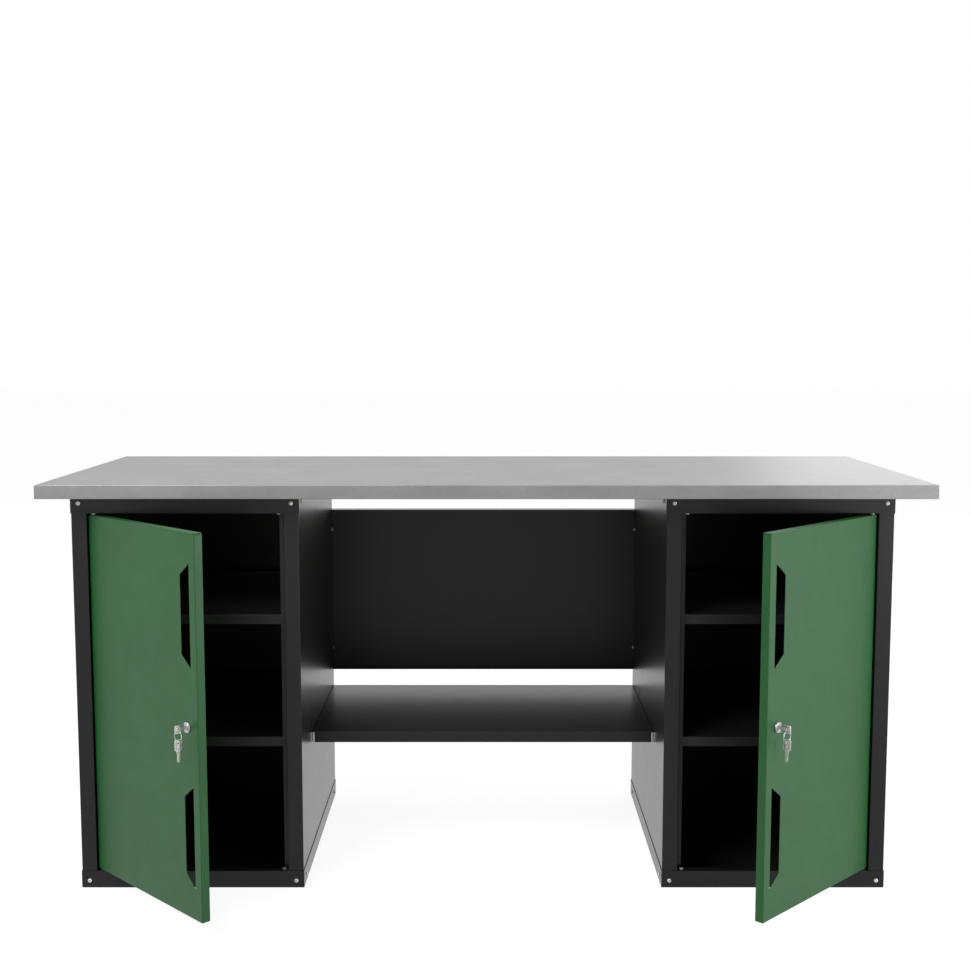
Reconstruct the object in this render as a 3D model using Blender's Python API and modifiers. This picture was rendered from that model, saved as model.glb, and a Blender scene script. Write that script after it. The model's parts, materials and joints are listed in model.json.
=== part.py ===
"""Double pedestal workbench.

A steel-clad worktop on two folded-sheet cupboards, joined by a knee-space back panel and a low shelf.
Each cupboard has a door that swings on pivot pins, and a cam lock with its keys on a ring.

Lengths are in metres. Bench coordinates have X = 0 at the middle of the worktop, Y = 0 at its front
edge and Z = 0 on the floor. One empty carries them all, so that the world's origin lies under the
middle of the whole bench with its doors ajar.
"""
from math import cos, pi, radians, sin, tan

import bmesh
import bpy
from mathutils import Matrix, Vector

# Worktop
TOP_WIDTH = 1.800
TOP_DEPTH = 0.695
BENCH_HEIGHT = 0.850
BOARD_THICKNESS = 0.025
COVER_SHEET = 0.0012
COVER_LIP = 0.020
COVER_BEND = 0.0014

# Pedestals
PEDESTAL_WIDTH = 0.4618
END_OVERHANG = 0.0646
PEDESTAL_SETBACK = 0.052
REAR_OVERHANG = 0.050
PAIR_OFFSET = -0.008
SHEET = 0.0010
FIT = 0.0003
HOLE_PLAY = 0.0004
BEND = 0.0012
STILE_WIDTH = 0.0314
STILE_RETURN = 0.020
STOP_FLANGE = 0.0107
REAR_FLANGE = 0.025
TRAY_HEIGHT = 0.0363
TRAY_LIP = 0.0175
LIP_END_GAP = 0.0006
SCREW_INSET = 0.0155
SCREW_HEIGHT = 0.0153

# Shelves inside the pedestals
SHELF_TOPS = {"upper": 0.5746, "lower": 0.3162}
SHELF_FLANGE = 0.0202
SHELF_FRONT_GAP = 0.0015
SHELF_REAR_GAP = 0.0345
FRONT_HOOK_INSET = 0.1365
REAR_HOOK_INSET = 0.1195
HOOK_HEIGHT = 0.0165
HOOK_DROP = 0.0128
HOOK_PROUD = 0.0004
SLOT_WIDTH = 0.0060
SLOT_PLAY = 0.0005

# Doors
DOOR_THICKNESS = 0.0173
DOOR_RECESS = 0.0010
DOOR_HINGE_GAP = 0.0018
DOOR_LATCH_GAP = 0.0038
DOOR_TOP_GAP = 0.0030
DOOR_BOTTOM_GAP = 0.0042
DOOR_ANGLE = radians(45.2)
HINGE_LIP = 0.012
FITTINGS_RISE = 0.0014
GRIP_EDGE = 0.020
GRIP_WIDTH = 0.0318
GRIP_LENGTH = 0.1988
GRIP_TAPER = 0.0241
GRIP_OFFSET = 0.2127
GRIP_CORNER = 0.0010
DOOR_BEND = 0.0012
DOOR_EDGE_BEND = 0.0016

# Pivot pins and blanking plugs
PIN_RADIUS = 0.0030
PIN_COLLAR = 0.0042
PIN_HEAD = 0.0050
PIN_HEAD_HEIGHT = 0.0022
PIN_REACH = 0.009
PLUG_DROP = 0.0022

# Cam lock
LOCK_EDGE = 0.0355
LOCK_FLANGE_RADIUS = 0.0110
LOCK_FLANGE_EDGE = 0.0022
LOCK_LIP_RADIUS = 0.0088
LOCK_LIP_DROP = 0.0008
LOCK_DOME = 0.0046
LOCK_BARREL_RADIUS = 0.0091
LOCK_BORE_RADIUS = 0.0068
LOCK_LENGTH = 0.0200
PLUG_PLAY = 0.0004
PLUG_RECESS = 0.0006
NUT_ACROSS = 0.024
NUT_THICKNESS = 0.0040
CAM_LENGTH = 0.042
CAM_WIDTH = 0.015
CAM_THICKNESS = 0.0025
CAM_CORNER = 0.0015
CAM_GAP = 0.0007
BOSS_SIZE = 0.0070
CAM_SCREW_RADIUS = 0.0045
CAM_SCREW_HEAD = 0.0022
CAM_SCREW_CHAMFER = 0.0010

# Keys and ring
KEY_THICKNESS = 0.0020
BOW_LENGTH = 0.0208
BOW_WIDTH = 0.0158
BOW_CORNER = 0.0025
COLLAR_LENGTH = 0.0031
COLLAR_WIDTH = 0.0100
BLADE_LENGTH = 0.0215
BLADE_WIDTH = 0.0072
TOOTH_COUNT = 5
TOOTH_DEPTH = 0.0014
KEY_HOLE_RADIUS = 0.0021
KEY_HOLE_EDGE = 0.0070
KEYWAY_PLAY = 0.0004
KEYWAY_END_PLAY = 0.0010
RING_RADIUS = 0.0122
RING_WIRE = 0.0009

# Screws
SCREW_RADIUS = 0.0045
SCREW_DOME = 0.0026
SCREW_SHANK = 0.0020
SCREW_LENGTH = 0.009

# How far a cutter runs past the face that it cuts, how far a face may lean from a direction and still
# count as facing it, and how finely round forms are stepped
OVERRUN = 0.002
FACING_ANGLE = radians(25)
ROLL_STEPS = 8
RING_STEPS = 28
WIRE_SIDES = 8
AXES_LENGTH = 0.030

# Knee space
BACK_PANEL_BOTTOM = 0.327
BACK_PANEL_HEIGHT = 0.398
BACK_PANEL_FLANGE = 0.030
MIDDLE_SHELF_TOP = 0.2845
MIDDLE_SHELF_DEPTH = 0.406
MIDDLE_SHELF_REAR_GAP = 0.018
MIDDLE_SHELF_FLANGE = 0.0243
CORNER_NOTCH = 0.0040

# Heights and places that follow from the sizes above
COVER_THICKNESS = BOARD_THICKNESS + 2 * COVER_SHEET + 2 * FIT
BOARD_BOTTOM = BENCH_HEIGHT - COVER_THICKNESS + COVER_SHEET + FIT
PEDESTAL_HEIGHT = BOARD_BOTTOM - FIT
PEDESTAL_DEPTH = TOP_DEPTH - PEDESTAL_SETBACK - REAR_OVERHANG
PEDESTAL_SPACING = TOP_WIDTH - PEDESTAL_WIDTH - 2 * END_OVERHANG
PEDESTAL_BACK = PEDESTAL_SETBACK + PEDESTAL_DEPTH
TRAY_PROUD = SHEET + FIT
OPENING_BOTTOM = TRAY_HEIGHT
OPENING_TOP = PEDESTAL_HEIGHT - TRAY_HEIGHT
STILE_EDGE = PEDESTAL_WIDTH / 2 - STILE_WIDTH
DOOR_BOTTOM = OPENING_BOTTOM + DOOR_BOTTOM_GAP
DOOR_HEIGHT = OPENING_TOP - DOOR_TOP_GAP - DOOR_BOTTOM
PIVOT_X = STILE_EDGE - DOOR_HINGE_GAP - DOOR_THICKNESS / 2
PIVOT_Y = DOOR_RECESS + DOOR_THICKNESS / 2
DOOR_REACH = STILE_EDGE - DOOR_LATCH_GAP + PIVOT_X
SHELF_FRONT = STILE_RETURN + SHEET + SHELF_FRONT_GAP
SHELF_DEPTH = PEDESTAL_DEPTH - SHELF_REAR_GAP - SHELF_FRONT
WALL_INSIDE = PEDESTAL_WIDTH / 2 - SHEET
HOOK_ROWS = (SHELF_FRONT + FRONT_HOOK_INSET, SHELF_FRONT + SHELF_DEPTH - REAR_HOOK_INSET)
LOCK_X = DOOR_REACH - LOCK_EDGE
FITTINGS_HEIGHT = DOOR_HEIGHT / 2 + FITTINGS_RISE
PLUG_RADIUS = LOCK_BORE_RADIUS - PLUG_PLAY
KEY_HOLE_X = COLLAR_LENGTH + BOW_LENGTH - KEY_HOLE_EDGE
KNEE_LEFT = PAIR_OFFSET - (PEDESTAL_SPACING - PEDESTAL_WIDTH) / 2
KNEE_RIGHT = PAIR_OFFSET + (PEDESTAL_SPACING - PEDESTAL_WIDTH) / 2


def clear_scene():
    for item in list(bpy.data.objects):
        bpy.data.objects.remove(item, do_unlink=True)


def new_collection(name):
    group = bpy.data.collections.new(name)
    bpy.context.scene.collection.children.link(group)
    return group


def linear(channel):
    """One sRGB channel from 0 to 255, as linear light."""
    value = channel / 255
    return value / 12.92 if value <= 0.04045 else ((value + 0.055) / 1.055) ** 2.4


def material(name, rgb, roughness, metallic=0.0):
    """A Principled material from an sRGB colour."""
    finish = bpy.data.materials.new(name)
    finish.use_nodes = True
    shader = finish.node_tree.nodes["Principled BSDF"]
    colour = (*(linear(channel) for channel in rgb), 1.0)
    shader.inputs["Base Color"].default_value = colour
    shader.inputs["Roughness"].default_value = roughness
    shader.inputs["Metallic"].default_value = metallic
    finish.diffuse_color = colour
    return finish


clear_scene()
PARTS = new_collection("double_pedestal_workbench")
CUTTERS = new_collection("cutters")
GALVANISED = material("galvanised_steel", (176, 178, 178), 0.45, 0.85)
BOARD = material("chipboard", (176, 148, 108), 0.85)
BLACK = material("black_powder_coat", (44, 45, 46), 0.42)
GREEN = material("green_powder_coat", (84, 118, 88), 0.45)
ZINC = material("zinc_plated_steel", (200, 200, 198), 0.35, 0.9)
CHROME = material("lock_chrome", (214, 214, 214), 0.22, 1.0)
NICKEL = material("key_nickel", (205, 204, 200), 0.30, 1.0)


def link(name, data, finish, parent, location=(0, 0, 0), rotation=(0, 0, 0)):
    """Put an object of the bench in its collection, under its parent."""
    item = bpy.data.objects.new(name, data)
    PARTS.objects.link(item)
    if not data.materials:
        data.materials.append(finish)
    item.parent = parent
    item.location = location
    item.rotation_euler = rotation
    return item


def empty(name, parent=None, location=(0, 0, 0), rotation=(0, 0, 0)):
    item = bpy.data.objects.new(name, None)
    PARTS.objects.link(item)
    item.empty_display_size = AXES_LENGTH
    item.parent = parent
    item.location = location
    item.rotation_euler = rotation
    return item


def mesh_from(bm, name):
    data = bpy.data.meshes.new(name)
    bm.to_mesh(data)
    bm.free()
    return data


def shade(item, angle=35):
    item.data.shade_smooth()
    item.data.set_sharp_from_angle(angle=radians(angle))


def solidify(item, thickness):
    """Grow a sheet's thickness inwards from its outer face."""
    modifier = item.modifiers.new("sheet", "SOLIDIFY")
    modifier.thickness = thickness
    modifier.offset = -1
    modifier.use_even_offset = True
    modifier.use_quality_normals = True
    return modifier


def bevel(item, width, segments=2, angle=60):
    modifier = item.modifiers.new("bends", "BEVEL")
    modifier.width = width
    modifier.segments = segments
    modifier.limit_method = "ANGLE"
    modifier.angle_limit = radians(angle)
    return modifier


def combine(item, tool, operation="DIFFERENCE"):
    modifier = item.modifiers.new(operation.lower(), "BOOLEAN")
    modifier.object = tool
    modifier.operation = operation
    modifier.solver = "EXACT"
    return modifier


def as_cutter(name, bm, parent, location=(0, 0, 0)):
    """A tool for a Boolean modifier, hidden from renders."""
    item = bpy.data.objects.new(name, mesh_from(bm, name))
    CUTTERS.objects.link(item)
    item.parent = parent
    item.location = location
    item.hide_render = True
    item.display_type = "WIRE"
    return item


def add_box(bm, low, high):
    """A box between two corners."""
    low, high = Vector(low), Vector(high)
    middle = (low + high) / 2
    size = high - low
    matrix = Matrix.Translation(middle) @ Matrix.Diagonal((*size, 1.0))
    return bmesh.ops.create_cube(bm, size=1.0, matrix=matrix)["verts"]


def add_rod(bm, centre, axis, radius, length, sides=16):
    """A cylinder centred on a point, along the axis named X, Y or Z."""
    turn = {"X": Matrix.Rotation(pi / 2, 4, "Y"), "Y": Matrix.Rotation(pi / 2, 4, "X"),
            "Z": Matrix.Identity(4)}[axis]
    matrix = Matrix.Translation(centre) @ turn
    bmesh.ops.create_cone(bm, cap_ends=True, segments=sides, radius1=radius, radius2=radius,
                          depth=length, matrix=matrix)


def rounded(points, radius, segments=3):
    """Round the inner corners of an open path with arcs."""
    path = [Vector(points[0])]
    for before, corner, after in zip(points, points[1:], points[2:]):
        corner = Vector(corner)
        to_before = (Vector(before) - corner).normalized()
        to_after = (Vector(after) - corner).normalized()
        half = to_before.angle(to_after) / 2
        centre = corner + (to_before + to_after).normalized() * radius / sin(half)
        start = corner + to_before * radius / tan(half) - centre
        sweep = start.angle_signed(corner + to_after * radius / tan(half) - centre)
        for step in range(segments + 1):
            arm = start.copy()
            arm.rotate(Matrix.Rotation(-sweep * step / segments, 2))
            path.append(centre + arm)
    path.append(Vector(points[-1]))
    return path


def quarter(steps=4):
    """Angles from 0 to 90 degrees."""
    return [pi / 2 * step / steps for step in range(steps + 1)]


def sheet_strip(path, height, closed_ends=False):
    """Raise a path, seen from above with the sheet's inside on its left, into a wall."""
    bm = bmesh.new()
    foot, head = ([bm.verts.new((x, y, level)) for x, y in path] for level in (0, height))
    for index in range(len(path) - 1):
        bm.faces.new((foot[index], foot[index + 1], head[index + 1], head[index]))
    if closed_ends:
        bm.faces.new(reversed(foot))
        bm.faces.new(head)
    return bm


def flip(points):
    """The mirror image of a path in X, still with its inside on the left."""
    return [(-x, y) for x, y in reversed(points)]


def turned(name, profile, finish, parent, location=(0, 0, 0), rotation=(0, 0, 0), steps=16):
    """A turned piece: radius and height pairs, listed down its outer side, spun about Z."""
    bm = bmesh.new()
    points = [bm.verts.new((radius, 0, height)) for radius, height in profile]
    closed = min(radius for radius, _ in profile) > 0
    for first, second in zip(points, points[1:] + points[:1] if closed else points[1:]):
        bm.edges.new((first, second))
    item = link(name, mesh_from(bm, name), finish, parent, location, rotation)
    spin = item.modifiers.new("turn", "SCREW")
    spin.steps = spin.render_steps = steps
    spin.use_merge_vertices = True
    spin.merge_threshold = 0.00001
    spin.use_smooth_shade = False
    return item


def plate(name, outline, thickness, holes=()):
    """A flat plate's mesh in X and Y from a filled 2D curve, its rim welded to its faces."""
    curve = bpy.data.curves.new(name, "CURVE")
    curve.dimensions = "2D"
    curve.fill_mode = "BOTH"
    curve.extrude = thickness / 2
    for loop in (outline, *holes):
        spline = curve.splines.new("POLY")
        spline.points.add(len(loop) - 1)
        for point, (x, y) in zip(spline.points, loop):
            point.co = (x, y, 0, 1)
        spline.use_cyclic_u = True
    drawn = bpy.data.objects.new(name, curve)
    bpy.context.scene.collection.objects.link(drawn)
    data = bpy.data.meshes.new_from_object(drawn.evaluated_get(bpy.context.evaluated_depsgraph_get()))
    bpy.data.objects.remove(drawn, do_unlink=True)
    bpy.data.curves.remove(curve)
    bm = bmesh.new()
    bm.from_mesh(data)
    bmesh.ops.remove_doubles(bm, verts=bm.verts, dist=0.00001)
    bmesh.ops.recalc_face_normals(bm, faces=bm.faces)
    bm.to_mesh(data)
    bm.free()
    data.name = name
    return data


def circle(centre, radius, sides=12):
    turns = [2 * pi * step / sides for step in range(sides)]
    return [(centre[0] + radius * cos(turn), centre[1] + radius * sin(turn)) for turn in turns]


def rounded_loop(points, radius, segments=3):
    """A closed outline with every corner rounded."""
    ring = [points[-1], *points, points[0]]
    return [tuple(point) for point in rounded(ring, radius, segments)[1:-1]]


def pan(low, high, open_side):
    """A box surface with one side left open, named by its outward direction."""
    bm = bmesh.new()
    add_box(bm, low, high)
    bm.normal_update()
    direction = Vector(open_side)
    lid = [face for face in bm.faces if face.normal.dot(direction) > cos(FACING_ANGLE)]
    bmesh.ops.delete(bm, geom=lid, context="FACES")
    return bm


def add_worktop(root):
    half = TOP_WIDTH / 2
    edge = COVER_SHEET + FIT
    bm = bmesh.new()
    add_box(bm, (-half + edge, edge, BOARD_BOTTOM),
            (half - edge, TOP_DEPTH - edge, BOARD_BOTTOM + BOARD_THICKNESS))
    link("worktop_board", mesh_from(bm, "worktop_board"), BOARD, root)

    bm = bmesh.new()
    add_box(bm, (-half, 0, BENCH_HEIGHT - COVER_THICKNESS), (half, TOP_DEPTH, BENCH_HEIGHT))
    bm.normal_update()
    underside = [face for face in bm.faces if face.normal.z < -cos(FACING_ANGLE)]
    bmesh.ops.inset_region(bm, faces=underside, thickness=COVER_LIP, use_even_offset=True)
    bmesh.ops.delete(bm, geom=underside, context="FACES")
    cover = link("worktop_cover", mesh_from(bm, "worktop_cover"), GALVANISED, root)
    bevel(cover, COVER_BEND)
    solidify(cover, COVER_SHEET)
    shade(cover)


def side_panel(name, pedestal, side):
    """Wall, stile, return, stop flange and rear flange, folded from one sheet."""
    wall = PEDESTAL_WIDTH / 2
    path = [(STILE_EDGE - STOP_FLANGE, STILE_RETURN), (STILE_EDGE, STILE_RETURN), (STILE_EDGE, 0),
            (wall, 0), (wall, PEDESTAL_DEPTH), (wall - REAR_FLANGE, PEDESTAL_DEPTH)]
    if side < 0:
        path = flip(path)
    floor = BEND + FIT
    bm = sheet_strip(rounded(path, BEND), PEDESTAL_HEIGHT - 2 * floor)
    panel = link(name, mesh_from(bm, name), BLACK, pedestal, (0, 0, floor))
    solidify(panel, SHEET)

    holes = bmesh.new()
    for height in (SCREW_HEIGHT, PEDESTAL_HEIGHT - SCREW_HEIGHT):
        add_rod(holes, (side * (wall - SCREW_INSET), 0, height - floor), "Y",
                SCREW_SHANK + HOLE_PLAY, 4 * SHEET, 10)
    slot_half = (SLOT_WIDTH / 2, HOOK_HEIGHT / 2 + SLOT_PLAY)
    for top in SHELF_TOPS.values():
        middle = top - HOOK_DROP - floor
        for row in HOOK_ROWS:
            add_box(holes, (side * wall - 3 * SHEET, row - slot_half[0], middle - slot_half[1]),
                    (side * wall + 3 * SHEET, row + slot_half[0], middle + slot_half[1]))
    combine(panel, as_cutter(name + "_holes", holes, pedestal, (0, 0, floor)))
    shade(panel)


def rear_panel(name, pedestal):
    """A flat sheet seated against the side panels' rear flanges from inside."""
    half = PEDESTAL_WIDTH / 2 - BEND - FIT
    back = PEDESTAL_DEPTH - SHEET - FIT
    bm = bmesh.new()
    add_box(bm, (-half, back - SHEET, BEND + FIT), (half, back, PEDESTAL_HEIGHT - BEND - FIT))
    link(name, mesh_from(bm, name), BLACK, pedestal)


def tray(name, pedestal, bottom):
    """A tray that wraps the ends of the side panels, upside down at the top of the pedestal."""
    half = PEDESTAL_WIDTH / 2 + TRAY_PROUD
    low_y, high_y = -TRAY_PROUD, PEDESTAL_DEPTH + TRAY_PROUD
    lip_half = STILE_EDGE - LIP_END_GAP
    bm = pan((-half, low_y, 0), (half, high_y, TRAY_HEIGHT), (0, 0, 1))
    for x in (-lip_half - SHEET, -lip_half, lip_half, lip_half + SHEET):
        bmesh.ops.bisect_plane(bm, geom=bm.verts[:] + bm.edges[:] + bm.faces[:],
                               plane_co=(x, 0, 0), plane_no=(1, 0, 0))
    rim = [edge for edge in bm.edges
           if all(vert.co.z > TRAY_HEIGHT - FIT and vert.co.y < 0 and abs(vert.co.x) < lip_half + FIT
                  for vert in edge.verts)]
    raised = bmesh.ops.extrude_edge_only(bm, edges=rim)["geom"]
    bmesh.ops.translate(bm, vec=(0, TRAY_LIP + TRAY_PROUD, 0),
                        verts=[item for item in raised if isinstance(item, bmesh.types.BMVert)])
    if not bottom:
        bmesh.ops.scale(bm, vec=(1, 1, -1), verts=bm.verts)
        bmesh.ops.translate(bm, vec=(0, 0, PEDESTAL_HEIGHT), verts=bm.verts)
    bmesh.ops.recalc_face_normals(bm, faces=bm.faces)
    point_outwards(bm, -1 if bottom else 1)
    folded = link(name, mesh_from(bm, name), BLACK, pedestal)
    bevel(folded, BEND)
    solidify(folded, SHEET)

    holes = bmesh.new()
    screw_z = SCREW_HEIGHT if bottom else PEDESTAL_HEIGHT - SCREW_HEIGHT
    lip_z = OPENING_BOTTOM if bottom else OPENING_TOP
    for side in (-1, 1):
        add_rod(holes, (side * (PEDESTAL_WIDTH / 2 - SCREW_INSET), low_y, screw_z), "Y",
                SCREW_SHANK + HOLE_PLAY, 4 * SHEET, 10)
        add_rod(holes, (side * PIVOT_X, PIVOT_Y, lip_z), "Z", PIN_RADIUS + HOLE_PLAY, 6 * SHEET, 12)
    combine(folded, as_cutter(name + "_holes", holes, pedestal))
    shade(folded)


def point_outwards(bm, sign):
    """Turn the surface so that its floor or roof faces down or up."""
    bm.normal_update()
    largest = max(bm.faces, key=lambda face: face.calc_area() * (abs(face.normal.z) > cos(FACING_ANGLE)))
    if largest.normal.z * sign < 0:
        bmesh.ops.reverse_faces(bm, faces=bm.faces)


def shelf(name, pedestal, top):
    """A folded tray shelf whose hooks stand in the side panels' slots."""
    half = WALL_INSIDE - FIT
    bm = pan((-half, SHELF_FRONT, top - SHELF_FLANGE), (half, SHELF_FRONT + SHELF_DEPTH, top), (0, 0, -1))
    folded = link(name, mesh_from(bm, name), BLACK, pedestal)
    bevel(folded, BEND)
    solidify(folded, SHEET)

    hooks = bmesh.new()
    middle = top - HOOK_DROP
    for side in (-1, 1):
        ends = sorted((side * (half - SHEET / 2), side * (PEDESTAL_WIDTH / 2 + HOOK_PROUD)))
        for row in HOOK_ROWS:
            add_box(hooks, (ends[0], row - SHEET / 2, middle - HOOK_HEIGHT / 2),
                    (ends[1], row + SHEET / 2, middle + HOOK_HEIGHT / 2))
    combine(folded, as_cutter(name + "_hooks", hooks, pedestal), "UNION")
    shade(folded)


def corner_screws(prefix, pedestal):
    """Domed screws through the trays' front walls into the stiles."""
    dome = [(SCREW_RADIUS * sin(angle), FIT + SCREW_DOME * cos(angle)) for angle in quarter()]
    profile = [*dome, (SCREW_SHANK, FIT), (SCREW_SHANK, -SCREW_LENGTH), (0, -SCREW_LENGTH)]
    heights = {"lower": SCREW_HEIGHT, "upper": PEDESTAL_HEIGHT - SCREW_HEIGHT}
    for level, height in heights.items():
        for place, side in (("left", -1), ("right", 1)):
            turned(f"{prefix}_{level}_{place}_screw", profile, ZINC, pedestal,
                   (side * (PEDESTAL_WIDTH / 2 - SCREW_INSET), -TRAY_PROUD, height),
                   (pi / 2, 0, 0), 12)


def pivot_fittings(prefix, pedestal, mirror):
    """Pivot pins on the hinge side and blanking plugs in the unused holes, riveted in the tray lips."""
    for level, lip, gap, turn in (("upper", OPENING_TOP, DOOR_TOP_GAP, 0),
                                  ("lower", OPENING_BOTTOM, DOOR_BOTTOM_GAP, pi)):
        head = [(0, SHEET + FIT + PIN_HEAD_HEIGHT), (PIN_HEAD, SHEET + FIT + PIN_HEAD_HEIGHT),
                (PIN_HEAD, SHEET + FIT), (PIN_RADIUS, SHEET + FIT), (PIN_RADIUS, -FIT)]
        pin = [*head, (PIN_COLLAR, -FIT), (PIN_COLLAR, -gap + FIT), (PIN_RADIUS, -gap + FIT),
               (PIN_RADIUS, -gap - PIN_REACH), (0, -gap - PIN_REACH)]
        blank = [*head, (PIN_COLLAR, -FIT), (PIN_COLLAR, -PLUG_DROP), (0, -PLUG_DROP)]
        turned(f"{prefix}_{level}_pivot_pin", pin, ZINC, pedestal,
               (-mirror * PIVOT_X, PIVOT_Y, lip), (turn, 0, 0), 16)
        turned(f"{prefix}_{level}_blanking_plug", blank, ZINC, pedestal,
               (mirror * PIVOT_X, PIVOT_Y, lip), (turn, 0, 0), 12)


def door_panel(name, hinge, mirror):
    """A pan with a rolled hinge edge round its pivot, two grip cut-outs and the lock's hole."""
    half = DOOR_THICKNESS / 2
    turns = [pi * step / ROLL_STEPS for step in range(ROLL_STEPS + 1)]
    roll = [(-half * sin(turn), half * cos(turn)) for turn in turns]
    edge = rounded([(0, -half), (DOOR_REACH, -half), (DOOR_REACH, half)], DOOR_EDGE_BEND)[1:]
    path = [(HINGE_LIP, half), *roll, *(tuple(point) for point in edge)]
    if mirror < 0:
        path = flip(path)
    bm = sheet_strip(path, DOOR_HEIGHT, closed_ends=True)
    panel = link(name, mesh_from(bm, name), GREEN, hinge)
    bevel(panel, DOOR_BEND)
    solidify(panel, SHEET)

    holes = bmesh.new()
    through = 2 * (SHEET + OVERRUN)
    add_rod(holes, (mirror * LOCK_X, -half, FITTINGS_HEIGHT), "Y", LOCK_BARREL_RADIUS + HOLE_PLAY,
            through, 20)
    for height in (0, DOOR_HEIGHT):
        add_rod(holes, (0, 0, height), "Z", PIN_RADIUS + HOLE_PLAY, through, 12)
    combine(panel, as_cutter(name + "_holes", holes, hinge))
    long_side = DOOR_REACH - GRIP_EDGE
    short_side = long_side - GRIP_WIDTH
    outline = [(long_side, -GRIP_LENGTH / 2), (long_side, GRIP_LENGTH / 2),
               (short_side, GRIP_LENGTH / 2 - GRIP_TAPER), (short_side, -GRIP_LENGTH / 2 + GRIP_TAPER)]
    outline = rounded_loop([(mirror * x, y) for x, y in outline], GRIP_CORNER, 2)
    for level, place in (("lower", -GRIP_OFFSET), ("upper", GRIP_OFFSET)):
        bm = bmesh.new()
        bm.from_mesh(plate(name + "_grip", outline, through))
        bmesh.ops.rotate(bm, verts=bm.verts, matrix=Matrix.Rotation(pi / 2, 3, "X"))
        grip = as_cutter(f"{name}_{level}_grip", bm, hinge, (0, -half, FITTINGS_HEIGHT + place))
        combine(panel, grip)
    shade(panel)


def key_outline():
    """Bow and tapered collar towards +X, blade towards -X with its teeth on the +Y side."""
    start, end, side = COLLAR_LENGTH, COLLAR_LENGTH + BOW_LENGTH, BOW_WIDTH / 2
    bow = rounded_loop([(start, -side), (end, -side), (end, side), (start, side)], BOW_CORNER)
    corner = len(bow) // 4
    half = BLADE_WIDTH / 2
    pitch = BLADE_LENGTH / (TOOTH_COUNT + 2)
    teeth = [(start, COLLAR_WIDTH / 2), (0, half)]
    for tooth in range(TOOTH_COUNT):
        crest = -(tooth + 1) * pitch
        teeth += [(crest, half), (crest - pitch / 2, half - TOOTH_DEPTH * (1 + tooth % 2) / 2)]
    tip = [(-BLADE_LENGTH, 0), (-BLADE_LENGTH + half, -half), (0, -half), (start, -COLLAR_WIDTH / 2)]
    return [*bow[corner:], *teeth, *tip, *bow[:corner]]


def add_key(name, parent, rotation, location=(0, 0, 0)):
    """A flat key, its plate square to the door and its ring hole near the bow's end."""
    hole = circle((KEY_HOLE_X, 0), KEY_HOLE_RADIUS)
    return link(name, plate(name, key_outline(), KEY_THICKNESS, [hole]), NICKEL, parent, location, rotation)


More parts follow.
